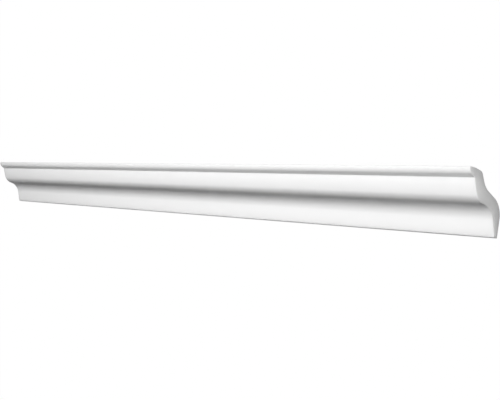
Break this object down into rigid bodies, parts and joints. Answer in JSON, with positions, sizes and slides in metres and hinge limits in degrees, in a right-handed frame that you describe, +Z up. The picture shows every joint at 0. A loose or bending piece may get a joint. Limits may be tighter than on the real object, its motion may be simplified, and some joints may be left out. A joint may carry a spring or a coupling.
{
  "type": "cornice moulding length",
  "caption": "Plain white foam cornice length for the corner of a wall and ceiling: fillet, sloping undercut, swept cyma face and slanting hollow back, cut square at the ends.",
  "frame": {"origin": "on the flat wall face, half way along the length and 18 mm above the bottom edge", "axes": "+X along the length, +Y into the wall, +Z up to the ceiling"},
  "size_m": [2, 0.1, 0.115],
  "materials": {
    "foam": "smooth matt white polystyrene foam, fine-grained where it is cut"
  },
  "bodies": {
    "root": {"cornice_length": "foam"}
  },
  "joints": []
}
